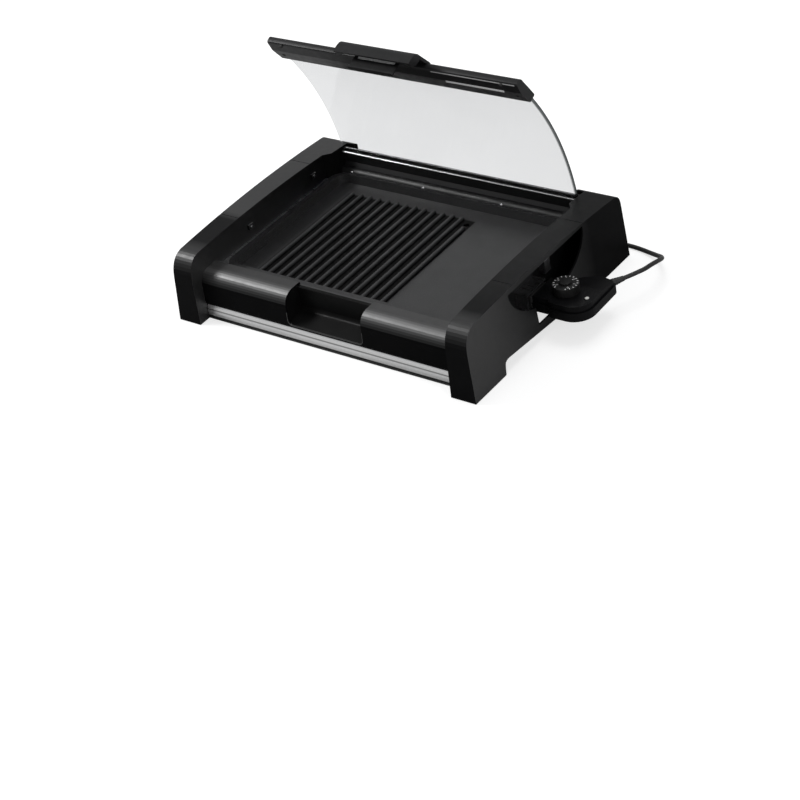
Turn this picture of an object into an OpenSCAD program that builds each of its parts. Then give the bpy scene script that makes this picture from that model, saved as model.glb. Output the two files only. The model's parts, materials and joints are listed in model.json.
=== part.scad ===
// Electric indoor grill with a hinged glass lid, a lift-in grill plate, a drip
// tray drawer and a plug-in thermostat. Millimetres, +X to the right, +Y to the
// rear, +Z up, origin under the middle of the part without its cord.

/* [Body] */
// Width across the front feet
body_w = 560; // [540:1:580]
// Depth over the end panels
body_d = 418; // [410:1:430]
// Height of the top of the end panels' arch
body_h = 119; // [116:1:124]
// Thickness of the moulded walls
wall = 3; // [2.5:0.5:3.5]
// Distance from the middle to the inner face of an end panel
panel_in = 237; // [236:1:239]

/* [Lid] */
// Angle between the closed lid and the open lid
lid_open = 66; // [60:1:66]
// Width of the glass pane
glass_w = 448; // [430:1:450]
// Thickness of the glass pane
glass_t = 4; // [3:0.5:5]
// Radius of the hinge pins
pin_r = 4; // [3:0.5:5]

/* [Grill plate] */
// Number of grill ribs
rib_count = 14; // [10:1:14]
// Height of a grill rib
rib_h = 5; // [3:0.5:6]
// Distance between two ribs
rib_pitch = 18; // [15:0.5:18]

/* [Thermostat] */
// Radius of the dial's marked skirt
dial_r = 20; // [18:0.5:21]
// Diameter of the mains cord
cord_d = 7; // [5:0.5:7]

/* [Hidden] */

gap = 0.1;                      // running clearance between two moving faces
overrun = 60;                   // how far a cutter reaches past what it cuts
panel_out = body_w / 2;         // outer face of a panel at its front foot
panel_lean = 9;                 // how far that face leans inward to the top
panel_flare = 9;                // how far it flares outward to the rear
arch_y = 174;                   // highest point of the arch
arch_drop = 0.0002;             // fall of the arch per square millimetre
foot_l = 77;                    // length of a front foot
notch_z = 22;                   // height of the panel's lower edge behind it
rear_foot_y = 356;              // where the rear foot begins
pad_h = 1;                      // height of a rubber pad
scoop = [215, 111];             // centre of the thermostat's opening, Y and Z
scoop_size = [99, 62];          // half its length and its depth
neck_y = [172, 252];            // passage for the thermostat under it
neck_z = 27;

deck_z = 82;                    // top of the fascia
fascia_front = 22;              // front face of the fascia
fascia_rear = 66;               // rear edge of its deck
fascia_low = 27;                // its lower edge, over the drip tray
recess_w = 141;                 // width of the handle's recess
recess_y = 60;                  // rear face of its rear wall
recess_lip = 31;                // height of its front lip
recess_top = 78;                // top of its rear wall
recess_r = 8;                   // rounding of its lower corners

pan_z = 3;                      // underside of the base pan
pan_t = 2;                      // its thickness
shield_t = 1.5;                 // sheet of the heat shields
ledge_z = 71;                   // top of the ledge that carries the plate
ledge_w = 13;                   // width of that ledge
shield_l = 276;                 // length of a heat shield
rear_y = 402;                   // front face of the rear wall

plate_w = 458;                  // outside of the plate's rim
plate_y0 = 70;                  // front of the rim
plate_y1 = 372;                 // rear of the rim
rim_t = 3;                      // thickness of the rim
plate_top = ledge_z + rim_t;
floor_z = 60;                   // cooking surface
plate_under = 55;               // underside of the plate
rib_x0 = -173;                  // first rib
rib_y0 = 85;                    // front ends of the ribs
rib_y1 = 335;                   // rear ends of the ribs
drain = [59, 321];              // drain hole, behind the last rib

probe_y = 206;                  // the probe and the middle of its terminals
probe_z = 51;
terminal_gap = 14;              // from the probe to a terminal pin
element_r = 3.5;
element_z = 53.5;
bend_r = 20;                    // bends of the heating element

hinge_y = 385.5;                // axis of the lid
hinge_z = 66;
bar_r = 11;                     // rear bar of the lid
tower_x = 213.5;                // inner edge of a hinge tower
cheek_x = 227;                  // its face at the hinge
lid_front = 72;                 // front edge of the closed lid
bar_l = 50;                     // depth of the front bar
bar_z = 78;                     // underside of the front bar when closed
bar_t = 13;                     // its thickness
glass_y0 = 86;                  // front edge of the closed pane, inside the bar
glass_y1 = 357;                 // its rear edge
glass_z = 83;                   // underside of the pane at both edges
glass_sag = 20;                 // rise of the pane's curve
handle_w = 136;
tongue_w = 80;

head_z0 = 38;                   // underside of the thermostat
head_z1 = 52;                   // joint of its two halves
head_z2 = 62;                   // top of its cover
head_in = 263;                  // its inner face
head_out = 354;                 // its outer face
slope_y = 238;                  // where its top begins to fall
slope = 0.13;                   // fall of its top
dial_pos = [303, 219];
dial_h = 13.7;                  // height of the dial's skirt
lens_pos = [341, 213];

tray_w = 440;
tray_y1 = 345;
tray_h = 18;
tray_t = 1.2;
strip_y = 21;                   // front face of the drip tray
strip_z0 = 4;
strip_z1 = 25;

relief_pos = [338.5, 275, 47];  // root of the strain relief
relief_turn = 61;               // its direction in plan
relief_l = 26;
relief_way = [cos(relief_turn), sin(relief_turn), 0];
relief_end = relief_pos + relief_l * relief_way;
coil_pos = [175, 466.5];        // middle of the coiled cord
coil_r = 38.5;                  // middle of its turns
coil_turns = 2;                 // turns side by side, and layers
plug_pos = [108, 436, 10];      // cord end of the plug
// Route of the free cord from the strain relief down to the coil
cord_route = [relief_end, relief_end + 8 * relief_way, [361, 317, 46.8], [367.5, 332, 46.6],
    [369.8, 345.6, 45.6], [370.5, 358, 43], [369, 372, 38.2], [364.5, 386, 31.3], [357, 399, 23.5],
    [346.5, 411, 15.7], [333, 421, 9.2], [317, 429, 5.2], [299, 434.5, 3.7], [280, 437, 3.5],
    [262, 437, 3.5], [245, 434.5, 3.5], [228, 431, 3.5], [210, 427.5, 3.5], [193, 425.2, 3.5],
    [175, 424.5, 3.5]];
// Route from the coil to the plug
tail_route = [[175, 424.5, 10.5], [160, 425.2, 10.7], [145, 428.4, 11], [131, 432.8, 10.8],
    [120, 435.4, 10.2], plug_pos + [5, 0, 0], plug_pos];
part_left = -(panel_out + panel_flare - panel_lean * pad_h / body_h);
place = [-(part_left + head_out) / 2, -body_d / 2, 0];

black = [0.05, 0.05, 0.055];
soft_black = [0.09, 0.09, 0.1];
steel = [0.72, 0.73, 0.75];
coating = [0.13, 0.13, 0.135];

function arc(c, r, a0, a1, n) =
    [for (i = [0:n]) let (a = a0 + (a1 - a0) * i / n) c + r * [cos(a), sin(a)]];
function ellipse_arc(c, s, a0, a1, n) =
    [for (i = [0:n]) let (a = a0 + (a1 - a0) * i / n) c + [s[0] * cos(a), s[1] * sin(a)]];
function curve(p, q, r, n) =
    [for (i = [0:n]) let (t = i / n) (1 - t) * (1 - t) * p + 2 * t * (1 - t) * q + t * t * r];
function arch_z(y) = body_h - arch_drop * (y - arch_y) * (y - arch_y);

// Side view of an end panel, Y and Z
panel_outline = concat(
    [[0, pad_h], [foot_l, pad_h], [foot_l + 2, 12]],
    curve([foot_l + 3, 16], [foot_l + 4, notch_z], [foot_l + 14, notch_z], 5),
    [[rear_foot_y, pad_h], [body_d, pad_h]],
    curve([body_d, 92], [body_d - 1, arch_z(body_d)], [body_d - 14, arch_z(body_d - 14)], 5),
    [for (y = [380:-32:60]) [y, arch_z(y)]],
    curve([32, arch_z(32)], [8, 112], [5.5, 80], 9));

// A side view, Y and Z, carried along X
module along_x(x0, x1)
    translate([x0, 0, 0]) rotate([90, 0, 90]) linear_extrude(x1 - x0) children();

// A front view, X and Z, carried along Y
module along_y(y0, y1)
    translate([0, y1, 0]) rotate([90, 0, 0]) linear_extrude(y1 - y0) children();

// What lies outside the leaning, flared outer face of the right panel
module outside(inset)
    translate([panel_out - inset, 0, 0])
        rotate([0, -atan(panel_lean / body_h), -atan(panel_flare / body_d)])
            translate([0, -overrun, -overrun]) cube([overrun, body_d + 2 * overrun, 2 * body_h]);

module panel_core()
    difference() {
        along_x(panel_in, panel_out + overrun / 2) polygon(panel_outline);
        outside(0);
    }

module panel_cavity()
    difference() {
        along_x(panel_in + wall, panel_out + overrun / 2)
            offset(delta = -wall) polygon(panel_outline);
        outside(wall);
    }

module end_panel(opening)
    difference() {
        panel_core();
        panel_cavity();
        translate([panel_in + wall, foot_l + 24, -1])
            cube([panel_out - panel_in - 3 * wall, rear_foot_y - foot_l - 34, 34]);
        for (y = [132, 316])
            translate([panel_in - 1, y, arch_z(y) - 0.8]) cube([overrun, 1, 5]);
        if (opening) {
            along_x(panel_in + 2 * wall, panel_out + overrun)
                polygon(ellipse_arc(scoop, scoop_size, 180, 360, 24));
            translate([panel_in + 2 * wall, neck_y[0], neck_z])
                cube([overrun, neck_y[1] - neck_y[0], scoop[1] - neck_z - 30]);
            translate([panel_in - 1, probe_y - 25, probe_z - 12]) cube([wall + 2, 50, 27]);
        }
    }

module foot_pad(y)
    translate([panel_in + 22, y, 0]) cylinder(h = pad_h, r = 9, $fn = 48);

module end_panel_left() color(black) mirror([1, 0, 0]) end_panel(false);
module end_panel_right() color(black) end_panel(true);
module foot_front_left() color(soft_black) mirror([1, 0, 0]) foot_pad(40);
module foot_front_right() color(soft_black) foot_pad(40);
module foot_rear_left() color(soft_black) mirror([1, 0, 0]) foot_pad(390);
module foot_rear_right() color(soft_black) foot_pad(390);

fascia_outline = concat(
    [[fascia_front + 1, fascia_low], [fascia_front, fascia_low + 3], [fascia_front + 2, 58]],
    curve([fascia_front + 2, 60], [fascia_front + 4, deck_z], [fascia_front + 26, deck_z], 9),
    [[fascia_rear - 2, deck_z], [fascia_rear, deck_z - 2], [fascia_rear, 72]]);
fascia_inner = concat(
    [[fascia_rear - wall, 72], [fascia_rear - wall, deck_z - wall]],
    curve([fascia_front + 26, deck_z - wall], [fascia_front + 7, deck_z - wall - 1],
        [fascia_front + 2 + wall, 59], 9),
    [[fascia_front + wall, fascia_low + 3], [fascia_front + wall, fascia_low]]);

module front_fascia() color(black)
    difference() {
        along_x(-panel_in, panel_in) polygon(concat(fascia_outline, fascia_inner));
        along_y(0, recess_y - wall)
            polygon(concat(
                arc([recess_r - recess_w / 2, recess_lip + recess_r], recess_r, 180, 270, 5),
                arc([recess_w / 2 - recess_r, recess_lip + recess_r], recess_r, 270, 360, 5),
                [[recess_w / 2, deck_z + 1], [-recess_w / 2, deck_z + 1]]));
        translate([-recess_w / 2, recess_y - wall - 1, recess_top])
            cube([recess_w, fascia_rear - recess_y + wall + 2, deck_z]);
    }

recess_y0 = fascia_front + wall + 0.4;
recess_floor = concat(
    [[recess_y0, recess_lip - wall], [recess_y0, recess_lip]],
    curve([recess_y - 10, recess_lip + 7.5], [recess_y - 3.5, recess_lip + 9],
        [recess_y - wall, recess_lip + 15], 5),
    [[recess_y - wall, recess_top], [recess_y + wall, recess_top],
        [recess_y + wall, recess_top - wall], [recess_y, recess_top - wall]],
    curve([recess_y, recess_lip + 14], [recess_y - 0.5, recess_lip + 6],
        [recess_y - 10, recess_lip + 4.5], 5));
recess_cheek = concat(
    [[recess_y0, recess_lip - wall], [recess_y0, recess_lip]],
    [for (p = curve([fascia_front + 2 + wall, 59], [fascia_front + 7, deck_z - wall - 1],
        [fascia_front + 26, deck_z - wall], 9)) p + [0.3, 0]],
    [[recess_y, deck_z - wall], [recess_y, recess_lip + 13], [recess_y - 10, recess_lip + 4]]);

module handle_recess() color(soft_black)
    union() {
        along_x(-recess_w / 2, recess_w / 2) polygon(recess_floor);
        along_x(recess_w / 2, recess_w / 2 + 2) polygon(recess_cheek);
        along_x(-recess_w / 2 - 2, -recess_w / 2) polygon(recess_cheek);
    }

module base_pan() color(black)
    difference() {
        union() {
            translate([-panel_in, strip_y + 2, pan_z])
                cube([2 * panel_in, rear_y - strip_y - 2, pan_t]);
            translate([-panel_in, strip_y + 1, pan_z - 2]) cube([2 * panel_in, 1.5, pan_t + 2]);
        }
        for (x = [-180:40:180], y = [120:60:300])
            translate([x - 12, y, pan_z - 1]) cube([24, 4, pan_t + 2]);
    }

module shield()
    difference() {
        union() {
            translate([panel_in - shield_t, 72, pan_z + pan_t])
                cube([shield_t, shield_l, ledge_z - pan_z - pan_t]);
            translate([panel_in - ledge_w, 72, ledge_z - shield_t])
                cube([ledge_w, shield_l, shield_t]);
        }
        children();
    }

module heat_shield_left() color(steel) mirror([1, 0, 0]) shield();
module heat_shield_right() color(steel)
    shield()
        translate([panel_in - overrun / 2, probe_y - 25, probe_z - 12]) cube([overrun, 50, 27]);

module rear_wall() color(black)
    difference() {
        union() {
            translate([-cheek_x, rear_y, pan_z]) cube([2 * cheek_x, wall, 89 - pan_z]);
            translate([-tower_x, rear_y, 86]) cube([2 * tower_x, 9, wall]);
        }
        for (x = [-160:16:160])
            translate([x - 3, rear_y - 1, 28]) cube([6, wall + 2, 24]);
    }

module hinge_tower() color(black)
    difference() {
        intersection() {
            along_x(tower_x, panel_in) polygon(panel_outline);
            translate([0, 0, pan_z + pan_t])
                linear_extrude(body_h)
                    polygon([[panel_in, 350], [cheek_x, 362], [cheek_x, rear_y + wall],
                        [tower_x, rear_y + wall], [tower_x, 414], [panel_in, 414]]);
        }
        translate([cheek_x - 1, hinge_y, hinge_z]) rotate([0, 90, 0])
            cylinder(h = panel_in - cheek_x + 1, r = pin_r + 0.05, $fn = 64);
    }
module hinge_tower_left() mirror([1, 0, 0]) hinge_tower();
module hinge_tower_right() hinge_tower();

// A slab with rounded corners, w wide from y0 to y1
module round_slab(w, y0, y1, r, z0, h)
    translate([0, 0, z0]) linear_extrude(h)
        polygon(concat(arc([w / 2 - r, y0 + r], r, -90, 0, 6), arc([w / 2 - r, y1 - r], r, 0, 90, 6),
            arc([r - w / 2, y1 - r], r, 90, 180, 6), arc([r - w / 2, y0 + r], r, 180, 270, 6)));

module rib(x, y1)
    translate([x, 0, 0]) along_y(rib_y0, y1)
        polygon([[-4, floor_z - 0.5], [4, floor_z - 0.5], [2.6, floor_z + rib_h - 1],
            [1.4, floor_z + rib_h], [-1.4, floor_z + rib_h], [-2.6, floor_z + rib_h - 1]]);

module grill_plate() color(coating)
    difference() {
        union() {
            difference() {
                union() {
                    round_slab(plate_w, plate_y0, plate_y1, 24, ledge_z, rim_t);
                    hull() {
                        round_slab(442, plate_y0 + 2.5, plate_y1 - 2, 20, ledge_z, 0.5);
                        round_slab(436, plate_y0 + 6, plate_y1 - 5.5, 17, plate_under, 0.5);
                    }
                }
                hull() {
                    round_slab(437, plate_y0 + 9, plate_y1 - 4.5, 17, plate_top - 0.01, 1);
                    round_slab(430, plate_y0 + 13, plate_y1 - 8, 14, floor_z, 0.5);
                }
            }
            for (i = [0:rib_count - 1])
                rib(rib_x0 + i * rib_pitch, i < rib_count - 1 ? rib_y1 : drain[1] - 11);
            translate([186, probe_y - 7, probe_z - 5.5]) cube([20, 14, plate_under - probe_z + 6]);
        }
        translate([185, probe_y, probe_z]) rotate([0, 90, 0])
            cylinder(h = 30, r = 3.35, $fn = 48);
        translate([drain[0], drain[1], plate_under - 1]) cylinder(h = 20, r = 5, $fn = 48);
    }

// A straight run and a quarter bend of the heating element
module run(p, q)
    let (d = q - p)
        translate([p[0], p[1], element_z]) rotate([0, 90, atan2(d[1], d[0])])
            cylinder(h = norm(d), r = element_r, $fn = 20);
module bend(c, a)
    translate([c[0], c[1], element_z]) rotate([0, 0, a])
        rotate_extrude(angle = 90, $fn = 40) translate([bend_r, 0]) circle(r = element_r, $fn = 20);

element_x = 170;
element_y0 = 110;
element_y1 = 320;
module heating_element() color(steel)
    let (xi = element_x - bend_r, ya = element_y0 + bend_r, yb = element_y1 - bend_r,
        ta = probe_y - terminal_gap, tb = probe_y + terminal_gap) {
        run([xi, element_y0], [-xi, element_y0]);
        run([xi, element_y1], [-xi, element_y1]);
        run([-element_x, ya], [-element_x, yb]);
        run([element_x, ya], [element_x, ta - bend_r]);
        run([element_x, tb + bend_r], [element_x, yb]);
        run([element_x + bend_r, ta], [228, ta]);
        run([element_x + bend_r, tb], [228, tb]);
        bend([xi, ya], -90);
        bend([-xi, ya], 180);
        bend([-xi, yb], 90);
        bend([xi, yb], 0);
        bend([element_x + bend_r, ta - bend_r], 90);
        bend([element_x + bend_r, tb + bend_r], 180);
    }

module terminal_pin(y) color(steel)
    translate([228, y, element_z]) rotate([0, 90, 0]) cylinder(h = 30, r = 3, $fn = 48);
module terminal_pin_front() terminal_pin(probe_y - terminal_gap);
module terminal_pin_rear() terminal_pin(probe_y + terminal_gap);

module terminal_shroud() color(steel)
    difference() {
        translate([229, probe_y - 25, probe_z - 12]) cube([31, 50, 27]);
        translate([231, probe_y - 23, probe_z - 10]) cube([31, 46, 23]);
        for (y = [-terminal_gap, terminal_gap])
            translate([228, probe_y + y, element_z]) rotate([0, 90, 0])
                cylinder(h = 4, r = 3.1, $fn = 48);
        translate([228, probe_y, probe_z]) rotate([0, 90, 0])
            cylinder(h = 4, r = 4, $fn = 48);
    }

module drip_tray() color(steel)
    difference() {
        translate([-tray_w / 2, strip_y + 6, pan_z + pan_t + gap])
            cube([tray_w, tray_y1 - strip_y - 6, tray_h]);
        translate([tray_t - tray_w / 2, strip_y + 6 + tray_t, pan_z + pan_t + gap + tray_t])
            cube([tray_w - 2 * tray_t, tray_y1 - strip_y - 6 - 2 * tray_t, tray_h]);
    }

module drip_tray_front() color(steel)
    translate([0, strip_y, 0]) along_x(-panel_in + 1, panel_in - 1)
        polygon(concat([[6, strip_z0 + 1.2], [2, strip_z0 + 1.2], [0.8, strip_z0 + 2]],
            curve([0.8, strip_z0 + 5], [0, 16], [2.4, strip_z1 - 2], 6),
            [[4, strip_z1], [6, strip_z1]]));

// The lid is drawn closed and then turned open about its hinge
module lid_pose()
    translate([0, hinge_y, hinge_z]) rotate([-lid_open, 0, 0]) translate([0, -hinge_y, -hinge_z])
        children();

glass_half = (glass_y1 - glass_y0) / 2;
glass_r = (glass_half * glass_half + glass_sag * glass_sag) / (2 * glass_sag);
glass_mid = (glass_y0 + glass_y1) / 2;
glass_cz = glass_z + glass_sag - glass_r;

module glass_shell()
    intersection() {
        translate([-glass_w / 2, glass_mid, glass_cz]) rotate([0, 90, 0])
            difference() {
                cylinder(h = glass_w, r = glass_r + glass_t, $fn = 360);
                translate([0, 0, -1]) cylinder(h = glass_w + 2, r = glass_r, $fn = 360);
            }
        translate([-glass_w / 2 - 1, glass_y0, bar_z]) cube([glass_w + 2, 2 * glass_half, overrun]);
    }

module lid_glass() color([0.8, 0.85, 0.88, 0.35]) lid_pose() glass_shell();

front_bar_outline = concat(
    curve([lid_front + 4, bar_z], [lid_front, bar_z], [lid_front, bar_z + 5], 4),
    curve([lid_front, bar_z + 8], [lid_front + 1, bar_z + bar_t], [lid_front + 10, bar_z + bar_t + 1], 6),
    [[lid_front + 32, bar_z + bar_t + 6], [lid_front + bar_l - 2, bar_z + bar_t + 9.5],
        [lid_front + bar_l, bar_z + bar_t + 8], [lid_front + bar_l, bar_z + 9],
        [lid_front + bar_l - 2, bar_z + 7.5], [lid_front + 26, bar_z + 1.5], [lid_front + 20, bar_z]]);

module lid_front_bar() color(black)
    lid_pose() difference() {
        along_x(-glass_w / 2 - 3, glass_w / 2 + 3) polygon(front_bar_outline);
        glass_shell();
    }

rear_bar_l = 2 * cheek_x - 2;
module lid_rear_bar() color(black)
    lid_pose() difference() {
        union() {
            translate([-rear_bar_l / 2, hinge_y, hinge_z]) rotate([0, 90, 0])
                cylinder(h = rear_bar_l, r = bar_r, $fn = 72);
            along_x(-rear_bar_l / 2, rear_bar_l / 2)
                polygon([[hinge_y, hinge_z + bar_r], [368, 92.5], [352, 92.5], [352, 80],
                    [372, 78], [376, 72], [hinge_y, hinge_z - 6]]);
        }
        glass_shell();
        for (side = [-1, 1])
            translate([side * (rear_bar_l / 2 - 4) - 4.1, hinge_y, hinge_z]) rotate([0, 90, 0])
                cylinder(h = 8.2, r = pin_r, $fn = 64);
    }

handle_outline = concat(
    [[lid_front + 16, bar_z + 8], [lid_front + 20, bar_z + 17.5], [lid_front + 4, bar_z + 15.5],
        [52, 84.5]],
    curve([45, 82], [38, 79], [37.4, 69], 7),
    [[37, 58], [40, 58], [40.5, 66]],
    curve([40.8, 70], [42, 75.5], [54, 80.5], 7),
    [[lid_front, 87]]);
// Closed ends of the handle, which thin out toward its middle
handle_end = [[40, 58.5], [48, 60], [54.5, 70], [54.5, 80.7], [46, 79], [40, 68]];
handle_edge = [[39, 58.5], [40, 58.5], [40.4, 66], [44, 75], [43, 76], [39, 68]];

module handle_wedge()
    hull() {
        along_x(handle_w / 2 - 1, handle_w / 2) polygon(handle_end);
        along_x(handle_w / 2 - 20, handle_w / 2 - 19) polygon(handle_edge);
    }

module lid_handle() color(soft_black)
    lid_pose() difference() {
        union() {
            along_x(-handle_w / 2, handle_w / 2) polygon(handle_outline);
            handle_wedge();
            mirror([1, 0, 0]) handle_wedge();
        }
        along_x(-handle_w, handle_w) polygon(front_bar_outline);
    }

module lid_tongue() color(soft_black)
    lid_pose() difference() {
        along_x(-tongue_w / 2, tongue_w / 2)
            polygon([[49, 44], [55, 44], [55, 84], [52, 84], [52, 46], [49, 46]]);
        translate([6 - tongue_w / 2, 50, 62]) cube([tongue_w - 12, 10, 14]);
        along_x(-handle_w, handle_w) polygon(handle_outline);
    }

module lid_pin() color(steel)
    lid_pose() translate([rear_bar_l / 2 - 8, hinge_y, hinge_z]) rotate([0, 90, 0])
        cylinder(h = 18, r = pin_r, $fn = 64);
module lid_pin_left() mirror([1, 0, 0]) lid_pin();
module lid_pin_right() lid_pin();

module lid_bumper() color(soft_black)
    lid_pose() translate([200, lid_front + 4.5, plate_top + 0.3])
        cylinder(h = bar_z - plate_top - 0.3, r = 2.5, $fn = 48);
module lid_bumper_left() mirror([1, 0, 0]) lid_bumper();
module lid_bumper_right() lid_bumper();

// Plan of the thermostat, drawn s millimetres inside its outer edge
function head_outline(s) = concat(
    [[head_in, 246 - s], [head_in, 186 + s], [286, 186 + s]],
    curve([290, 186 + s], [292, 180 + s], [302, 180 + s], 4),
    arc([head_out - 32, 212], 32 - s, -90, 0, 10),
    curve([head_out - s, 268], [head_out - s, 275 - s], [348 - s, 276.5 - s], 4),
    [[327 + s / 2, 281 - s], [320 + s / 2, 277.5 - s]],
    curve([314, 273 - s], [304, 267 - s], [298, 258 - s], 4),
    [[290, 246 - s]]);

module head_hollow(z, h)
    translate([0, 0, z]) linear_extrude(h) offset(delta = -wall) polygon(head_outline(2.5));

module thermostat_base() color(black)
    difference() {
        translate([0, 0, head_z0]) linear_extrude(head_z1 - head_z0) polygon(head_outline(0));
        head_hollow(head_z0 + wall, head_z1);
    }

// What lies over the falling top of the cover, d millimetres under it
module over_slope(d)
    along_x(head_in - 1, head_out)
        polygon([[slope_y, head_z2 - d], [300, head_z2 - d - slope * (300 - slope_y)],
            [300, head_z2 + 1], [slope_y, head_z2 + 1]]);

module thermostat_cover() color(soft_black)
    difference() {
        translate([0, 0, head_z1]) linear_extrude(head_z2 - head_z1) polygon(head_outline(2.5));
        over_slope(0);
        difference() {
            head_hollow(head_z1 - 1, head_z2 - head_z1 - wall + 1);
            over_slope(wall);
        }
        translate([dial_pos[0], dial_pos[1], head_z2 - 9]) cylinder(h = 20, r = 3.05, $fn = 48);
        translate([lens_pos[0], lens_pos[1], head_z2 - 6]) cylinder(h = 20, r = 3, $fn = 48);
    }

module thermostat_lens() color([0.8, 0.8, 0.78])
    translate([lens_pos[0], lens_pos[1], head_z2 - 3]) cylinder(h = 4, r = 3, $fn = 48);

module thermostat_dial() color(soft_black)
    translate([dial_pos[0], dial_pos[1], 0]) union() {
        translate([0, 0, head_z2 + 0.3]) cylinder(h = dial_h, r = dial_r, $fn = 96);
        translate([0, 0, head_z2 - 8]) cylinder(h = 9, r = 3, $fn = 48);
    }

module thermostat_knob() color(black)
    translate([dial_pos[0], dial_pos[1], head_z2 + 0.3 + dial_h])
        difference() {
            cylinder(h = 3, r = 9.5, $fn = 72);
            for (a = [0:30:330])
                rotate([0, 0, a]) translate([10.1, 0, 0.8]) cylinder(h = 9, r = 1.4, $fn = 20);
        }

module thermostat_block() color(soft_black)
    difference() {
        translate([245, probe_y - 21, probe_z - 8]) cube([head_in - 245, 42, 19]);
        for (y = [-terminal_gap, terminal_gap])
            translate([244, probe_y + y, element_z]) rotate([0, 90, 0])
                cylinder(h = 15, r = 3.2, $fn = 48);
    }

module thermostat_probe() color(steel)
    translate([190, probe_y, probe_z]) rotate([0, 90, 0]) cylinder(h = 55, r = 3.25, $fn = 48);

module strain_relief() color(soft_black)
    difference() {
        translate(relief_pos) rotate([0, 90, relief_turn])
            rotate_extrude($fn = 32)
                polygon(concat([[0, 0], [6.5, 0]],
                    [for (i = [0:3]) each [[6 - i * 0.5, 8 + 4 * i], [6 - i * 0.5, 10 + 4 * i],
                        [5 - i * 0.25, 10 + 4 * i], [5 - i * 0.25, 12 + 4 * i]]],
                    [[4, relief_l], [0, relief_l]]));
        translate([0, 0, head_z0]) linear_extrude(head_z2 - head_z0) polygon(head_outline(0));
    }

// A round tube swept along a route by a polyhedron
function unit(v) = v / norm(v);
function along(r, i) = unit(r[min(i + 1, len(r) - 1)] - r[max(i - 1, 0)]);
function ring(r, i, d, n) =
    let (t = along(r, i), u = unit(cross(t, [0, 0, 1])), v = cross(u, t))
        [for (k = [0:n - 1]) r[i] + d / 2 * (cos(360 * k / n) * u + sin(360 * k / n) * v)];

module tube(r, d, n)
    polyhedron(
        points = [for (i = [0:len(r) - 1]) each ring(r, i, d, n)],
        faces = concat([[for (k = [0:n - 1]) k]],
            [for (i = [0:len(r) - 2], k = [0:n - 1])
                [i * n + k, (i + 1) * n + k, (i + 1) * n + (k + 1) % n, i * n + (k + 1) % n]],
            [[for (k = [n - 1:-1:0]) (len(r) - 1) * n + k]]));

module cord() color(black) tube(cord_route, cord_d, 10);
module cord_tail() color(black) tube(tail_route, cord_d, 10);

module cord_coil() color(black)
    translate([coil_pos[0], coil_pos[1], 0]) rotate_extrude($fn = 96)
        translate([coil_r - coil_turns * cord_d / 2, 0]) square(coil_turns * cord_d);

module mains_plug() color(black)
    translate(plug_pos) rotate([0, -90, 0])
        difference() {
            union() {
                cylinder(h = 12, r = 5, $fn = 48);
                translate([-10, -9, 12]) cube([20, 18, 22]);
            }
            for (y = [-1, 1])
                translate([0, y * 14, 8]) cylinder(h = 14, r = 6, $fn = 48);
        }

module plug_pin(y) color(steel)
    translate([plug_pos[0] - 34 - 17, plug_pos[1] + y - 0.8, plug_pos[2] - 3]) cube([17, 1.6, 6]);
module plug_pin_left() plug_pin(-6.35);
module plug_pin_right() plug_pin(6.35);

translate(place) end_panel_left();
translate(place) end_panel_right();
translate(place) foot_front_left();
translate(place) foot_front_right();
translate(place) foot_rear_left();
translate(place) foot_rear_right();
translate(place) front_fascia();
translate(place) handle_recess();
translate(place) base_pan();
translate(place) heat_shield_left();
translate(place) heat_shield_right();
translate(place) rear_wall();
translate(place) hinge_tower_left();
translate(place) hinge_tower_right();
translate(place) grill_plate();
translate(place) heating_element();
translate(place) terminal_shroud();
translate(place) terminal_pin_front();
translate(place) terminal_pin_rear();
translate(place) drip_tray();
translate(place) drip_tray_front();
translate(place) lid_glass();
translate(place) lid_front_bar();
translate(place) lid_rear_bar();
translate(place) lid_handle();
translate(place) lid_tongue();
translate(place) lid_pin_left();
translate(place) lid_pin_right();
translate(place) lid_bumper_left();
translate(place) lid_bumper_right();
translate(place) thermostat_base();
translate(place) thermostat_cover();
translate(place) thermostat_dial();
translate(place) thermostat_knob();
translate(place) thermostat_block();
translate(place) thermostat_probe();
translate(place) thermostat_lens();
translate(place) strain_relief();
translate(place) cord();
translate(place) cord_coil();
translate(place) cord_tail();
translate(place) mains_plug();
translate(place) plug_pin_left();
translate(place) plug_pin_right();
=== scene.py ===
"""Looks of the electric indoor grill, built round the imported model.

Lengths are metres. Where a comment says millimetres, they are the CAD model's own, which
mm() takes to the frame.
"""
import math

import bpy
import bmesh
from mathutils import Matrix, Vector
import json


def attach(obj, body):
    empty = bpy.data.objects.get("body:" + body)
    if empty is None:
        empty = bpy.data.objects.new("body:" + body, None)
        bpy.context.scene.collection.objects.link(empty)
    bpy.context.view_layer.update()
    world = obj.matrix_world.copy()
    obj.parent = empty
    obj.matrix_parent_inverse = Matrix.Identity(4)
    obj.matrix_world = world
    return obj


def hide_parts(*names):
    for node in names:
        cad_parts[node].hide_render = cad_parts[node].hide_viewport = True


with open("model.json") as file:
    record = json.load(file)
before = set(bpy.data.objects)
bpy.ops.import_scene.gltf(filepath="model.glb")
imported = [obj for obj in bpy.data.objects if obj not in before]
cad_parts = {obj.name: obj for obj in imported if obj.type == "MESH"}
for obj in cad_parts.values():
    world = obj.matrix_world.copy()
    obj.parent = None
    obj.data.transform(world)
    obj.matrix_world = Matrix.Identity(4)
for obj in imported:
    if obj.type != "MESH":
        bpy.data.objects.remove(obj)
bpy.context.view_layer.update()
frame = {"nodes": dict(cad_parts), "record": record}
scene = bpy.context.scene
nodes = frame["nodes"]

# The CAD model's origin in the frame, in millimetres
ORIGIN_X, ORIGIN_Y = -32.538, -209.0


def mm(x, y, z):
    """A point in the CAD model's millimetres, as a point of the frame."""
    return Vector(((x + ORIGIN_X) / 1000, (y + ORIGIN_Y) / 1000, z / 1000))


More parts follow.
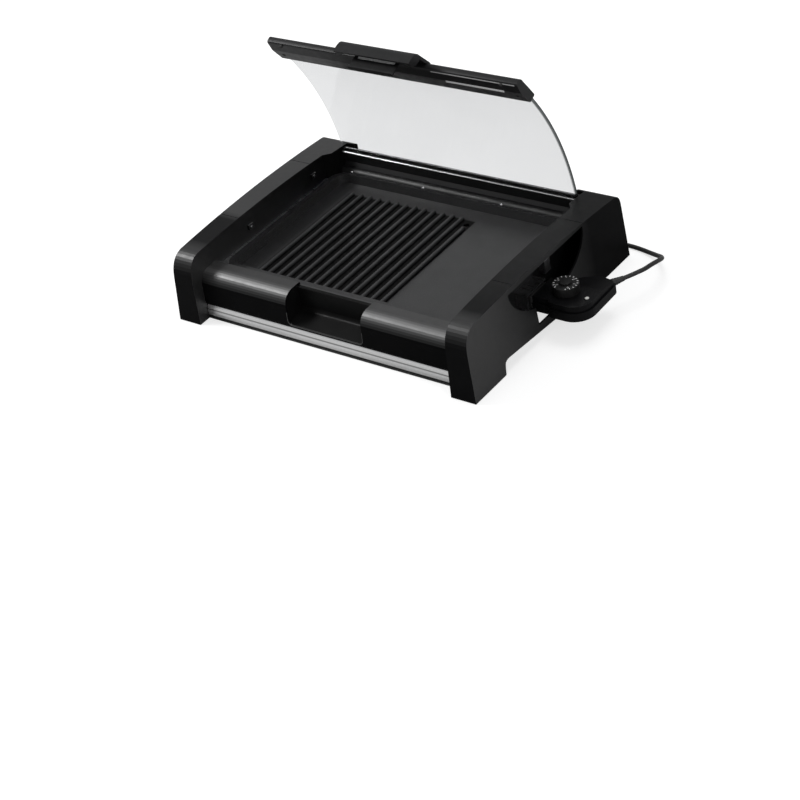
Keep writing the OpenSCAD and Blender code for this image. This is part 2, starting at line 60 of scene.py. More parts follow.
# ---------------------------------------------------------------- camera
# Fitted to points read off the photograph
CAMERA_AT = (1.5609, -1.8276, 1.5279)
CAMERA_RIGHT = (0.80542339, 0.5715343, -0.15697677)
CAMERA_UP = (-0.23821325, 0.55466728, 0.79724442)
CAMERA_BACK = (0.5427224, -0.60472536, 0.58288904)
CAMERA_LENS = 82.894

cam_data = bpy.data.cameras.new("camera")
cam_data.sensor_width = 36
cam_data.lens = CAMERA_LENS
cam_data.clip_start = 0.1
cam_data.clip_end = 60
cam = bpy.data.objects.new("camera", cam_data)
cam_turn = Matrix((CAMERA_RIGHT, CAMERA_UP, CAMERA_BACK)).transposed().to_4x4()
cam.matrix_world = Matrix.Translation(CAMERA_AT) @ cam_turn
scene.collection.objects.link(cam)
scene.camera = cam


# ---------------------------------------------------------------- meshes
def mesh_piece(name, bm, body, bevel=0.0):
    """An object made of a bmesh, on a body."""
    me = bpy.data.meshes.new(name)
    bmesh.ops.recalc_face_normals(bm, faces=bm.faces[:])
    bm.to_mesh(me)
    bm.free()
    o = bpy.data.objects.new(name, me)
    scene.collection.objects.link(o)
    if bevel:
        m = o.modifiers.new("bevel", "BEVEL")
        m.width = bevel
        m.segments = 2
        m.limit_method = "ANGLE"
    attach(o, body)
    return o


def bridge(bm, low, high):
    """A band of faces between two closed loops with as many vertices each."""
    for k in range(len(low)):
        j = (k + 1) % len(low)
        bm.faces.new((low[k], low[j], high[j], high[k]))


# ---------------------------------------------------------------- cord
# Millimetres
CORD_RADIUS = 3.5
RELIEF = Vector((338.5, 275, 47))     # root of the strain relief
RELIEF_TURN = math.radians(61)        # its direction in plan
RELIEF_LENGTH = 26
WAY = Vector((math.cos(RELIEF_TURN), math.sin(RELIEF_TURN), 0))
END = RELIEF + RELIEF_LENGTH * WAY
# From the strain relief down to the table and along the rear to the coil
FREE = [tuple(END), tuple(END + 8 * WAY), (361, 317, 46.8), (367.5, 332, 46.6),
        (369.8, 345.6, 45.6), (370.5, 358, 43), (369, 372, 38.2), (364.5, 386, 31.3),
        (357, 399, 23.5), (346.5, 411, 15.7), (333, 421, 9.2), (317, 429, 5.2),
        (299, 434.5, 3.7), (280, 437, 3.5), (262, 437, 3.5), (245, 434.5, 3.5),
        (228, 431, 3.5), (210, 427.5, 3.5), (193, 425.2, 3.5)]
# From the coil to the plug
TAIL = [(160, 425.2, 10.7), (145, 428.4, 11), (131, 432.8, 10.8), (120, 435.4, 10.2),
        (113, 436, 10), (108, 436, 10)]

COIL_X, COIL_Y = 175, 466.5           # middle of the coil
COIL_RADIUS = 38.5                    # middle of its bundle
COIL_TURNS = 3
COIL_STEPS = 24                       # points in one turn
BUNDLE_Z = 7                          # height of the bundle's middle
BUNDLE_RADIUS = 4.95                  # from there to the middle of each of the four places
CHANGE_AT, CHANGE_OVER = 180, 75      # degrees of a turn in which the lead changes place


def coil_points():
    """Three turns of the lead, in four places of one bundle.

    They change place at the north-east, and the lift there keeps the lead above the table.
    """
    points = []
    for i in range(COIL_TURNS * COIL_STEPS + 1):
        along = i * 360 / COIL_STEPS
        lap, rest = divmod(along - CHANGE_AT, 360)
        change = min(max(rest / CHANGE_OVER, 0), 1) if lap >= 0 else 0
        change = change * change * (3 - 2 * change)
        spot = math.radians(-45 - 90 * (max(lap, 0) + change))
        lift = BUNDLE_RADIUS * math.sin(math.radians(45 + 90 * change)) - CORD_RADIUS
        radius = COIL_RADIUS + BUNDLE_RADIUS * math.cos(spot)
        a = math.radians(-90 - along)
        points.append((COIL_X + radius * math.cos(a), COIL_Y + radius * math.sin(a),
                       BUNDLE_Z + lift + BUNDLE_RADIUS * math.sin(spot)))
    return points


def bezier_length(points, steps=8):
    """The length of a Bezier spline, in straight steps."""
    length = 0.0
    for first, second in zip(points, points[1:]):
        last = None
        for k in range(steps + 1):
            t = k / steps
            p = ((1 - t) ** 3 * first.co + 3 * t * (1 - t) ** 2 * first.handle_right
                 + 3 * t * t * (1 - t) * second.handle_left + t ** 3 * second.co)
            if last is not None:
                length += (p - last).length
            last = p
    return length


def cord_piece():
    """The whole lead as one tube, with its length."""
    data = bpy.data.curves.new("mains_cord", "CURVE")
    data.dimensions = "3D"
    # The points' radius carries the size, because the object's box grows by it
    data.bevel_depth = 1.0
    data.bevel_resolution = 3
    data.use_fill_caps = True
    data.resolution_u = 4
    points = [mm(*p) for p in FREE + coil_points() + TAIL]
    spline = data.splines.new("BEZIER")
    spline.bezier_points.add(len(points) - 1)
    for bp, p in zip(spline.bezier_points, points):
        bp.co = p
        bp.radius = CORD_RADIUS / 1000
        bp.handle_left_type = bp.handle_right_type = "AUTO"
    o = bpy.data.objects.new("mains_cord", data)
    scene.collection.objects.link(o)
    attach(o, "thermostat")
    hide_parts("cord", "cord_coil", "cord_tail")
    bpy.context.view_layer.update()
    return o, bezier_length(spline.bezier_points)


TIE_HALF, TIE_LENGTH, TIE_CORNER = 8.1, 8, 3      # half its width, its length, its corners
TIE_LOW, TIE_TOP = 0.15, 15.2
TIE_INSIDE = 1 - 0.7 / 8                          # inner size to outer, for a 0.7 mm band


def tie():
    """A flat band round the bundle on the west side of the coil."""
    cx, cz = COIL_X - COIL_RADIUS, (TIE_LOW + TIE_TOP) / 2
    x0, x1, r = cx - TIE_HALF, cx + TIE_HALF, TIE_CORNER
    outer = [(x0, TIE_LOW + r), (x0 + r, TIE_LOW), (x1 - r, TIE_LOW), (x1, TIE_LOW + r),
             (x1, TIE_TOP - r), (x1 - r, TIE_TOP), (x0 + r, TIE_TOP), (x0, TIE_TOP - r)]
    inner = [(cx + (x - cx) * TIE_INSIDE, cz + (z - cz) * TIE_INSIDE) for x, z in outer]
    bm = bmesh.new()
    out_south, out_north, in_south, in_north = (
        [bm.verts.new(mm(x, y, z)) for x, z in loop] for loop in (outer, inner)
        for y in (COIL_Y - TIE_LENGTH / 2, COIL_Y + TIE_LENGTH / 2))
    bridge(bm, out_south, out_north)
    bridge(bm, out_north, in_north)
    bridge(bm, in_north, in_south)
    bridge(bm, in_south, out_south)
    return mesh_piece("cord_tie", bm, "thermostat")


cord_obj, cord_length = cord_piece()
tie_obj = tie()


# ---------------------------------------------------------------- shader nodes
def put(nt, socket, value):
    """Gives a socket a value, or links another node's output to it."""
    if isinstance(value, bpy.types.NodeSocket):
        nt.links.new(value, socket)
    else:
        socket.default_value = value


def math_node(nt, operation, *values):
    n = nt.nodes.new("ShaderNodeMath")
    n.operation = operation
    for socket, value in zip(n.inputs, values):
        put(nt, socket, value)
    return n.outputs[0]


def span(nt, source, start, end, least=0.0):
    """From least to 1 while the source goes from start to end."""
    n = nt.nodes.new("ShaderNodeMapRange")
    n.inputs["From Min"].default_value = start
    n.inputs["From Max"].default_value = end
    n.inputs["To Min"].default_value = least
    nt.links.new(source, n.inputs[0])
    return n.outputs[0]


def mix_colour(nt, factor, first, second, blend="MIX"):
    n = nt.nodes.new("ShaderNodeMix")
    n.data_type = "RGBA"
    n.blend_type = blend
    put(nt, n.inputs["Factor"], factor)
    put(nt, n.inputs[6], first)
    put(nt, n.inputs[7], second)
    return n.outputs[2]


def mix_shader(nt, factor, first, second):
    n = nt.nodes.new("ShaderNodeMixShader")
    for socket, value in zip(n.inputs, (factor, first, second)):
        nt.links.new(value, socket)
    return n.outputs[0]


def ramp(nt, source, stops):
    """A colour ramp. Each stop is a place with a colour or a grey level."""
    r = nt.nodes.new("ShaderNodeValToRGB")
    elements = r.color_ramp.elements
    while len(elements) < len(stops):
        elements.new(0.5)
    for e, (at, colour) in zip(elements, stops):
        e.position = at
        e.color = (*colour, 1) if isinstance(colour, tuple) else (colour, colour, colour, 1)
    nt.links.new(source, r.inputs[0])
    return r.outputs[0]


def xyz(nt, source):
    """A vector's X, Y and Z, as outputs by those names."""
    n = nt.nodes.new("ShaderNodeSeparateXYZ")
    nt.links.new(source, n.inputs[0])
    return n.outputs


def place(nt):
    """Where the surface is, in the object's coordinates."""
    return nt.nodes.new("ShaderNodeTexCoord").outputs["Object"]


def noise(nt, scale, detail=3.0, stretch=None):
    source = place(nt)
    if stretch:
        mapping = nt.nodes.new("ShaderNodeMapping")
        mapping.inputs["Scale"].default_value = stretch
        nt.links.new(source, mapping.inputs[0])
        source = mapping.outputs[0]
    n = nt.nodes.new("ShaderNodeTexNoise")
    n.inputs["Scale"].default_value = scale
    n.inputs["Detail"].default_value = detail
    nt.links.new(source, n.inputs["Vector"])
    return n.outputs[0]


def bump(nt, shader, source, strength, distance):
    n = nt.nodes.new("ShaderNodeBump")
    n.inputs["Strength"].default_value = strength
    n.inputs["Distance"].default_value = distance
    nt.links.new(source, n.inputs["Height"])
    nt.links.new(n.outputs[0], shader.inputs["Normal"])


def principled(nt):
    return next(n for n in nt.nodes if n.type == "BSDF_PRINCIPLED")


MATS = {}


def new_material(name):
    """Makes a material, kept in MATS by the name asked for, and gives its nodes and shader."""
    m = bpy.data.materials.new(name)
    m.use_nodes = True
    MATS[name] = m
    return m.node_tree, principled(m.node_tree)


def seen_ray(nt):
    """1 for a ray that the camera sees, straight or through the glass, and 0 for others."""
    path = nt.nodes.new("ShaderNodeLightPath")
    return math_node(nt, "MAXIMUM", path.outputs["Is Camera Ray"],
                     path.outputs["Is Transmission Ray"])


# ---------------------------------------------------------------- world, lamps, floor
WORLD_COLOUR = (0.97, 0.975, 0.985)
WORLD_LEVEL = 0.42         # the world's light on the object
FLOOR_LEVEL = (0.48, 0.50) # its colour at the darkest and at the palest
FLOOR_GLOW = 0.68          # what the floor adds to its lit colour, so that it's seen white
FLOOR_REACH = 12


def background(nt, colour, strength):
    n = nt.nodes.new("ShaderNodeBackground")
    n.inputs[0].default_value = (*colour, 1)
    n.inputs[1].default_value = strength
    return n.outputs[0]


def emission(nt, strength):
    n = nt.nodes.new("ShaderNodeEmission")
    n.inputs[0].default_value = (1, 1, 1, 1)
    n.inputs[1].default_value = strength
    return n.outputs[0]


def world_setup():
    """White where it's seen, and a plain level where it lights the object."""
    world = bpy.data.worlds.new("studio")
    world.use_nodes = True
    scene.world = world
    nt = world.node_tree
    nt.nodes.clear()
    out = nt.nodes.new("ShaderNodeOutputWorld")
    lit = background(nt, WORLD_COLOUR, WORLD_LEVEL)
    seen = background(nt, (1, 1, 1), 1.0)
    nt.links.new(mix_shader(nt, seen_ray(nt), lit, seen), out.inputs[0])


def area(name, at, to, size, watts):
    """A rectangular lamp that looks at a point."""
    data = bpy.data.lights.new(name, "AREA")
    data.shape = "RECTANGLE"
    data.size, data.size_y = size
    data.energy = watts
    o = bpy.data.objects.new(name, data)
    o.location = at
    o.rotation_mode = "QUATERNION"
    o.rotation_quaternion = (Vector(to) - Vector(at)).to_track_quat("-Z", "Y")
    scene.collection.objects.link(o)


def floor_material():
    """A floor that takes the shadow, and glows where it's seen."""
    nt, shader = new_material("floor")
    dark, pale = FLOOR_LEVEL
    colour = ramp(nt, noise(nt, 0.8), [(0.3, dark), (0.7, pale)])
    nt.links.new(colour, shader.inputs["Base Color"])
    shader.inputs["Roughness"].default_value = 0.9
    shader.inputs["Specular IOR Level"].default_value = 0.0
    both = nt.nodes.new("ShaderNodeAddShader")
    nt.links.new(shader.outputs[0], both.inputs[0])
    glow = mix_shader(nt, seen_ray(nt), emission(nt, 0.0), emission(nt, FLOOR_GLOW))
    nt.links.new(glow, both.inputs[1])
    out = next(n for n in nt.nodes if n.type == "OUTPUT_MATERIAL")
    nt.links.new(both.outputs[0], out.inputs[0])


world_setup()
floor_material()
area("key", at=(-1.45, -0.55, 1.6), to=(-0.1, -0.1, 0.05), size=(0.6, 0.5), watts=24)
area("top", at=(0.2, 0.5, 2.0), to=(0, 0, 0.05), size=(1.2, 0.8), watts=12)
area("side", at=(2.2, -0.6, 0.9), to=(0, 0, 0.1), size=(0.8, 0.8), watts=9)

floor_mesh = bpy.data.meshes.new("floor")
floor_mesh.from_pydata([(x * FLOOR_REACH, y * FLOOR_REACH, 0)
                        for x, y in ((-1, -1), (1, -1), (1, 1), (-1, 1))], [], [(0, 1, 2, 3)])
floor_mesh.materials.append(MATS["floor"])
floor = bpy.data.objects.new("floor", floor_mesh)
scene.collection.objects.link(floor)

# ---------------------------------------------------------------- materials
GRAIN_SCALE, GRAIN_STRENGTH, GRAIN_DEPTH = 900, 0.35, 0.00002
LINE_SCALE, LINE_STRENGTH, LINE_DEPTH = 60, 0.2, 0.00001
LINE_SPREAD = 0.08         # how far the lines change the roughness
DRIFT_RATIO = 2.3          # scale of the drift in roughness to that in colour


def grained(name, low, high, rough, spread, scale=40, metal=0.0, spec=0.5):
    """A surface whose colour and roughness drift a little, with a fine grain."""
    nt, shader = new_material(name)
    colour = ramp(nt, noise(nt, scale), [(0.3, low), (0.7, high)])
    drift = ramp(nt, noise(nt, scale * DRIFT_RATIO),
                 [(0.3, rough - spread), (0.7, rough + spread)])
    nt.links.new(colour, shader.inputs["Base Color"])
    nt.links.new(drift, shader.inputs["Roughness"])
    shader.inputs["Metallic"].default_value = metal
    shader.inputs["Specular IOR Level"].default_value = spec
    bump(nt, shader, noise(nt, GRAIN_SCALE, 2), GRAIN_STRENGTH, GRAIN_DEPTH)


def lined_metal(name, stretch, smoothest, roughest):
    """Metal with fine lines but no colour yet, and gives its nodes, shader and lines."""
    nt, shader = new_material(name)
    lines = noise(nt, LINE_SCALE, 4, stretch)
    nt.links.new(ramp(nt, lines, [(0.3, smoothest), (0.7, roughest)]), shader.inputs["Roughness"])
    shader.inputs["Metallic"].default_value = 1.0
    bump(nt, shader, lines, LINE_STRENGTH, LINE_DEPTH)
    return nt, shader, lines


def brushed(name, low, high, rough, stretch):
    """Metal whose colour follows its brushed lines."""
    nt, shader, lines = lined_metal(name, stretch, rough - LINE_SPREAD,
                                    rough + LINE_SPREAD)
    nt.links.new(ramp(nt, lines, [(0.3, low), (0.7, high)]), shader.inputs["Base Color"])


STRIP_Z = (0.005, 0.025)   # the heights over which the strip's bands of painted shade are set out


def strip_metal():
    """The brushed strip, with a painted shade along its lower edge and where one rolled groove
    runs.
    """
    nt, shader, lines = lined_metal("tray_front", (1.5, 90, 90), 0.28, 0.4)
    height = span(nt, xyz(nt, place(nt))["Z"], *STRIP_Z)
    # Painted shade: dark at the lower edge and in a band for the rolled groove
    band = ramp(nt, height, [(0.10, 0.03), (0.16, 0.8), (0.55, 1.0), (0.66, 0.2), (0.74, 0.95),
                             (0.95, 1.0)])
    brush = ramp(nt, lines, [(0.3, 0.96), (0.7, 1.0)])
    nt.links.new(mix_colour(nt, 1.0, band, brush, "MULTIPLY"), shader.inputs["Base Color"])


GLASS_EDGE_SHADE = (0.1875, 0.1905)         # X over which the pane darkens to its right edge, a painted shade


def glass():
    """Nearly clear, with a grey tint and a painted shade as a dark band along its right edge only.
    """
    nt, shader = new_material("lid_glass")
    tint = ramp(nt, noise(nt, 6), [(0.3, (0.66, 0.665, 0.67)), (0.7, (0.69, 0.695, 0.70))])
    edge = span(nt, xyz(nt, place(nt))["X"], *GLASS_EDGE_SHADE)
    # Painted shade along the right edge; the left edge has none
    colour = mix_colour(nt, edge, tint, (0.012, 0.014, 0.014, 1))
    nt.links.new(colour, shader.inputs["Base Color"])
    smudge = ramp(nt, noise(nt, 9), [(0.35, 0.0), (0.8, 0.004)])
    nt.links.new(smudge, shader.inputs["Roughness"])
    shader.inputs["Transmission Weight"].default_value = 1.0
    # Lower than real glass, which left a white slit beside the left tower
    shader.inputs["IOR"].default_value = 1.02
    shader.inputs["Coat Weight"].default_value = 0.35
    shader.inputs["Coat Roughness"].default_value = 0.04


# The floor between the ribs, where a painted shade goes, by axis: where the shade starts and where
# it is full
GROOVE_SHADE = (("X", 0.0355, 0.0335), ("X", -0.216, -0.212), ("Y", 0.128, 0.124),
          ("Y", -0.128, -0.124), ("Z", 0.0635, 0.0605))
LEFT_SHADE_X = (-0.222, -0.212)             # left of here the gloss is lowered, a painted shade


def nonstick():
    """Speckled coating, with a painted shade between the ribs, darker and less glossy there, and a
    painted shade on its gloss left of them.
    """
    nt, shader = new_material("nonstick")
    speck = noise(nt, 1500, 1)
    flat = ramp(nt, speck, [(0.42, (0.010, 0.010, 0.0105)), (0.62, (0.02, 0.02, 0.021)),
                            (0.74, (0.07, 0.07, 0.07))])
    at = xyz(nt, place(nt))
    ground = 1.0
    for axis, start, end in GROOVE_SHADE:
        ground = math_node(nt, "MULTIPLY", ground, span(nt, at[axis], start, end))
    # Painted shade: darker between the ribs
    colour = mix_colour(nt, ground, flat, (0.0015, 0.0015, 0.0015, 1))
    nt.links.new(colour, shader.inputs["Base Color"])
    # Painted shade on the gloss: lower between the ribs and left of the ribs
    gloss = math_node(nt, "MULTIPLY", ramp(nt, ground, [(0.0, 0.5), (1.0, 0.08)]),
                      span(nt, at["X"], *LEFT_SHADE_X, least=0.4))
    nt.links.new(gloss, shader.inputs["Specular IOR Level"])
    nt.links.new(ramp(nt, noise(nt, 30), [(0.3, 0.36), (0.7, 0.44)]), shader.inputs["Roughness"])
    bump(nt, shader, speck, 0.3, 0.00003)


LEAST_GLOSS = 0.03


def placed_gloss(name, low, high, rough, terms):
    """Black plastic with painted highlights: its gloss changes with where its surface is and which
    way it faces.

    Each term is a weight and its factors. A factor is X, Y or Z for the place, or NX, NY or
    NZ for the normal, with where it starts and where it is full.
    """
    grained(name, low, high, rough, 0.03)
    nt = MATS[name].node_tree
    at = xyz(nt, place(nt))
    way = xyz(nt, nt.nodes.new("ShaderNodeNewGeometry").outputs["Normal"])
    total = LEAST_GLOSS
    for weight, factors in terms:
        part = 1.0
        for what, start, end in factors:
            source = (way if what[0] == "N" else at)[what[-1]]
            part = math_node(nt, "MULTIPLY", part, span(nt, source, start, end))
        total = math_node(nt, "MULTIPLY_ADD", part, weight, total)
    nt.links.new(total, principled(nt).inputs["Specular IOR Level"])


# Painted highlights: gloss set by place and facing, raised where the highlights are wanted
PANEL_PAINTED_HIGHLIGHTS = [
    # Painted highlight on faces to the right, the more so towards the front
    (0.95, [("NX", 0.7, 0.9), ("Y", 0.12, -0.16)]),
    # Painted highlights on faces upward, at the front, and on the left panel behind its front
    (0.1, [("NZ", 0.6, 0.95)]),
    (0.5, [("NZ", 0.2, 0.6), ("Y", -0.15, -0.17)]),
    (0.85, [("NZ", 0.6, 0.9), ("Y", -0.085, -0.065), ("X", 0.0, -0.1)])]
FASCIA_PAINTED_HIGHLIGHTS = [
    # Painted highlights on the roll, and on the deck behind it
    (0.97, [("NZ", 0.15, 0.6), ("NY", 0.02, -0.25)]),
    (0.85, [("NZ", 0.7, 0.95)])]

# Darkest and lightest
SATIN = ((0.007, 0.007, 0.0075), (0.01, 0.01, 0.0105))
# Black plastics with painted highlights in their gloss
placed_gloss("panel_plastic", (0.0035, 0.0035, 0.0037), (0.005, 0.005, 0.0053), 0.44,
             PANEL_PAINTED_HIGHLIGHTS)
placed_gloss("fascia_plastic", (0.002, 0.002, 0.0022), (0.003, 0.003, 0.0033), 0.5,
             FASCIA_PAINTED_HIGHLIGHTS)
grained("recess_plastic", 0.003, 0.005, 0.4, 0.05, spec=0.08)
grained("rubber", 0.012, 0.02, 0.75, 0.06)
grained("black_steel", 0.006, 0.01, 0.4, 0.06, scale=18)
brushed("shield_steel", (0.30, 0.30, 0.31), (0.42, 0.42, 0.43), 0.33, (1, 12, 60))
grained("element_steel", (0.10, 0.09, 0.085), (0.2, 0.19, 0.18), 0.4, 0.08, metal=1.0)
brushed("terminal_steel", (0.6, 0.6, 0.61), (0.75, 0.75, 0.76), 0.2, (4, 40, 40))
brushed("tray_steel", 0.4, 0.55, 0.3, (3, 60, 60))
strip_metal()
nonstick()
glass()
grained("lid_plastic", *SATIN, 0.4, 0.05, spec=0.3)
grained("handle_plastic", *SATIN, 0.4, 0.05, spec=0.3)
grained("thermostat_plastic", (0.003, 0.003, 0.0033), (0.005, 0.005, 0.0055), 0.32, 0.04,
        spec=0.1)
grained("dial_plastic", 0.008, 0.012, 0.36, 0.05, spec=0.3)
grained("ceramic", 0.012, 0.02, 0.6, 0.06)
grained("lens_plastic", (0.4, 0.4, 0.38), (0.6, 0.6, 0.57), 0.2, 0.05, scale=300)
grained("cord_rubber", 0.008, 0.013, 0.5, 0.06)
brushed("brass_pin", (0.55, 0.40, 0.16), (0.7, 0.52, 0.24), 0.25, (60, 6, 6))
# For the painted highlight on the recess's rim
grained("rim_highlight_paint", 0.03, 0.05, 0.4, 0.05, scale=200)
# Pale, for the painted highlight along the front bar's lower edge
grained("edge_highlight_paint", 0.3, 0.4, 0.4, 0.05, scale=200)
grained("print_white", 0.6, 0.8, 0.5, 0.04, scale=400)


def paint(o, material):
    o.data.materials.clear()
    o.data.materials.append(MATS[material])


for sub in frame["record"]["subparts"]:
    if sub["node"] in nodes:
        paint(nodes[sub["node"]], sub["material_slot"])
paint(cord_obj, "cord_rubber")
paint(tie_obj, "cord_rubber")


# ---------------------------------------------------------------- the CAD nodes' edges
FLAT_ANGLE, ROUND_ANGLE, SPLIT_ANGLE = (math.radians(a) for a in (0.5, 35, 30))


def soften(name, width, segments):
    """A small rounding on a CAD node's sharp edges."""
    o = nodes[name]
    flat = o.modifiers.new("flat", "DECIMATE")
    flat.decimate_type = "DISSOLVE"
    flat.angle_limit = FLAT_ANGLE
    edge = o.modifiers.new("edge", "BEVEL")
    edge.width = width
    edge.segments = segments
    edge.limit_method = "ANGLE"
    edge.angle_limit = ROUND_ANGLE
    edge.use_clamp_overlap = True
    o.modifiers.new("even", "WEIGHTED_NORMAL")


def keep_edges(o):
    """A CAD node whose edges stay sharp, with even shading between them."""
    sharp = o.modifiers.new("sharp", "EDGE_SPLIT")
    sharp.split_angle = SPLIT_ANGLE
    even = o.modifiers.new("even", "WEIGHTED_NORMAL")
    even.keep_sharp = True


for name in ("end_panel_left", "end_panel_right"):
    soften(name, 0.0016, 3)
for name in ("thermostat_base", "thermostat_cover", "thermostat_dial", "mains_plug",
             "lid_tongue", "drip_tray_front"):
    soften(name, 0.0006, 2)
for o in nodes.values():
    if "edge" not in o.modifiers:
        keep_edges(o)

# ---------------------------------------------------------------- screws, clips, and strips that are painted highlights
LID_ANGLE = math.radians(66)
HINGE_Y, HINGE_Z = 385.5, 66.0        # millimetres


def lid_mm(x, y, z):
    """A point of the closed lid, in millimetres, where the open lid has it."""
    dy, dz = y - HINGE_Y, z - HINGE_Z
    return mm(x, HINGE_Y + dy * math.cos(LID_ANGLE) + dz * math.sin(LID_ANGLE),
              HINGE_Z - dy * math.sin(LID_ANGLE) + dz * math.cos(LID_ANGLE))


SCREW_SIDES = 24


def screw(name, centre, normal, radius, height, body, material, to_frame=mm):
    """A screw's head, with a flat top and a dimple in it. In millimetres."""
    c = Vector(centre)
    n = Vector(normal).normalized()
    u = n.orthogonal().normalized()
    v = n.cross(u)
    bm = bmesh.new()
    rings = []
    for r, h in ((radius, -0.3), (radius, height * 0.6), (radius * 0.82, height),
                 (radius * 0.2, height), (radius * 0.12, height * 0.35)):
        turns = (math.tau * k / SCREW_SIDES for k in range(SCREW_SIDES))
        rings.append([bm.verts.new(to_frame(*(c + n * h + (u * math.cos(t) + v * math.sin(t)) * r)))
                      for t in turns])
    for low, high in zip(rings, rings[1:]):
        bridge(bm, low, high)
    bm.faces.new(rings[-1])
    bm.faces.new(rings[0][::-1])
    paint(mesh_piece(name, bm, body), material)


def box(name, lo, hi, body, material, bevel, to_frame=mm):
    """A box between two corners, in millimetres. Its bevel is in metres."""
    bm = bmesh.new()
    bmesh.ops.create_cube(bm, size=1)
    for v in bm.verts:
        v.co = to_frame(*[(lo[k] + hi[k]) / 2 + v.co[k] * (hi[k] - lo[k]) for k in range(3)])
    paint(mesh_piece(name, bm, body, bevel), material)


def lid_box(name, lo, hi, material, bevel=0.0003):
    """A box in the closed lid's millimetres, opened with the lid."""
    box(name, lo, hi, "lid", material, bevel, lid_mm)


for k, x in enumerate((-205, -60, 90, 205), 1):
    screw("bar_screw_%d" % k, (x, 376.3, 72.1), (0, -0.84, 0.55), 2.3, 0.9, "lid",
          "terminal_steel")
for k, x in enumerate((-214, 214), 1):
    screw("end_screw_%d" % k, (x, 106, 81.9), (0, 0.26, -0.966), 3.0, 1.0, "lid",
          "lid_plastic", lid_mm)
# Two thin steel strips along the rear bar, a painted highlight for the bright lines along the rail
for k, (z0, z1) in enumerate(((81.2, 82.3), (90.4, 91.6)), 1):
    lid_box("rail_highlight_line_%d" % k, (-222, 351.5, z0), (222, 352.3, z1),
            "terminal_steel")
# A pale strip on the front bar, a painted highlight
lid_box("bar_highlight_strip", (98, 92.0, 77.3), (198, 95.5, 78.3), "print_white")
# A pale sheet in the handle's slot, painted light where the white background would show through
lid_box("slot_painted_light", (-33.6, 53.0, 62.4), (33.6, 53.8, 72.5),
        "print_white", 0.0001)
# A pale strip along the front bar's lower edge, a painted highlight
lid_box("bar_edge_highlight", (79, 75.3, 77.3), (222, 76.7, 78.3), "edge_highlight_paint", 0.0001)
box("scoop_tab", (239.8, 246, 62), (251, 261, 84), "base", "shield_steel",
    0.0004)
for k, y in enumerate((153, 318), 1):
    box("wall_clip_%d" % k, (-237.2, y - 6, 88), (-233.4, y + 6, 97), "base",
        "panel_plastic", 0.0008)
    screw("clip_screw_%d" % k, (-233.4, y, 92.5), (1, 0, 0), 1.7, 0.6, "base",
          "terminal_steel")

# ---------------------------------------------------------------- painted highlight on the rim of the recess
# Millimetres
FASCIA_Y, FASCIA_Z = 22, 30           # foot of the fascia's front face
FASCIA_LEAN = 1 / 14                  # how far it leans to the rear
RECESS_HALF, RECESS_LIP, RECESS_CORNER = 70.5, 31, 8
RIM_TOP = 52
RIM_STEPS = 6
# The rim's section: outward from the recess, and to the rear of the fascia's face
RIM_SECTION = ((-0.2, 0.6), (-0.2, -0.25), (0.55, -0.25), (0.55, 0.6))


def rim_path():
    """Down one side of the recess, along its lip and up the other side."""
    x, z, r = RECESS_CORNER - RECESS_HALF, RECESS_LIP + RECESS_CORNER, RECESS_CORNER
    path = [(-RECESS_HALF, RIM_TOP), (-RECESS_HALF, z)]
    for k in range(1, RIM_STEPS + 1):
        t = math.pi / 2 * (1 - k / RIM_STEPS)
        path.append((x - r * math.sin(t), z - r * math.cos(t)))
    return path + [(-x, z) for x, z in path[::-1]]


def recess_rim():
    """A lighter strip on the rounded lower edge of the recess, a painted highlight."""
    path = rim_path()
    bm = bmesh.new()
    loops = []
    for (x, z), (px, pz), (qx, qz) in zip(path, path[:1] + path[:-1], path[1:] + path[-1:]):
        along = Vector((qx - px, qz - pz)).normalized()
        out = Vector((along.y, -along.x))
        y = FASCIA_Y + (z - FASCIA_Z) * FASCIA_LEAN
        loops.append([bm.verts.new(mm(x + out.x * a, y + b, z + out.y * a))
                      for a, b in RIM_SECTION])
    for low, high in zip(loops, loops[1:]):
        bridge(bm, low, high)
    bm.faces.new(loops[0][::-1])
    bm.faces.new(loops[-1])
    paint(mesh_piece("recess_rim", bm, "base"), "rim_highlight_paint")


recess_rim()

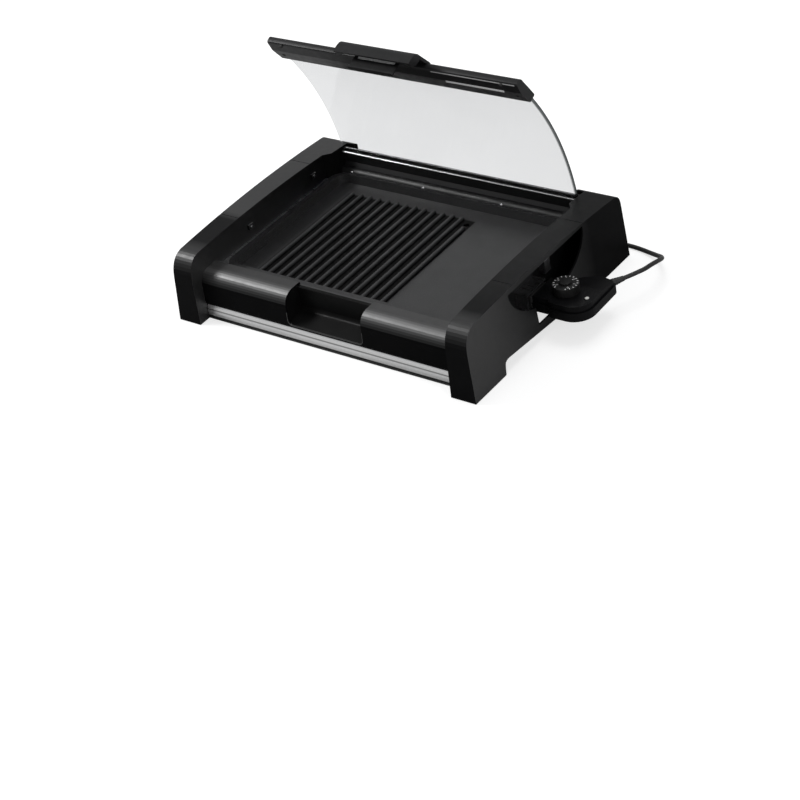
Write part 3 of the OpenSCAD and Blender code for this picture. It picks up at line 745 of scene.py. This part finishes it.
# ---------------------------------------------------------------- print on the dial
# Millimetres
DIAL_X, DIAL_Y, DIAL_TOP = 303, 219, 76.0
MARKS, MARK_START, MARK_ARC = 16, -60, 300
MARK_OUTER, MARK_INNER, MARK_HALF = 18.9, 16.2, 0.55
MARK_LOW, MARK_HIGH = -0.1, 0.12
NUMBERS, NUMBER_START, NUMBER_STEP = 6, -45, 54
NUMBER_RADIUS, NUMBER_SIZE, NUMBER_DEPTH, NUMBER_LIFT = 13.2, 5.5, 0.08, 0.05


def dial_mark(k):
    """One of the ring of marks on the skirt."""
    a = math.radians(MARK_START + k * MARK_ARC / (MARKS - 1))
    out, side = Vector((math.cos(a), math.sin(a))), Vector((-math.sin(a), math.cos(a)))
    corners = [Vector((DIAL_X, DIAL_Y)) + out * r + side * w for r, w in (
        (MARK_OUTER, -MARK_HALF), (MARK_OUTER, MARK_HALF),
        (MARK_INNER, MARK_HALF), (MARK_INNER, -MARK_HALF))]
    bm = bmesh.new()
    low, top = ([bm.verts.new(mm(c.x, c.y, DIAL_TOP + h)) for c in corners]
                for h in (MARK_LOW, MARK_HIGH))
    bm.faces.new(top)
    bm.faces.new(low[::-1])
    bridge(bm, low, top)
    paint(mesh_piece("dial_mark_%02d" % k, bm, "dial"), "print_white")


def dial_number(k):
    """One of the generic numbers within the ring."""
    a = math.radians(NUMBER_START + k * NUMBER_STEP)
    data = bpy.data.curves.new("dial_number_%d" % k, "FONT")
    data.body = str(k)
    data.size = NUMBER_SIZE / 1000
    data.extrude = NUMBER_DEPTH / 1000
    data.align_x = data.align_y = "CENTER"
    o = bpy.data.objects.new("dial_number_%d" % k, data)
    o.location = mm(DIAL_X + NUMBER_RADIUS * math.cos(a), DIAL_Y + NUMBER_RADIUS * math.sin(a),
                    DIAL_TOP + NUMBER_LIFT)
    o.rotation_euler = (0, 0, a - math.pi / 2)
    scene.collection.objects.link(o)
    paint(o, "print_white")
    bpy.context.view_layer.update()
    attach(o, "dial")


for k in range(MARKS):
    dial_mark(k)
for k in range(NUMBERS):
    dial_number(k)

# ---------------------------------------------------------------- finish
scene.view_settings.view_transform = "Standard"
bpy.context.view_layer.update()
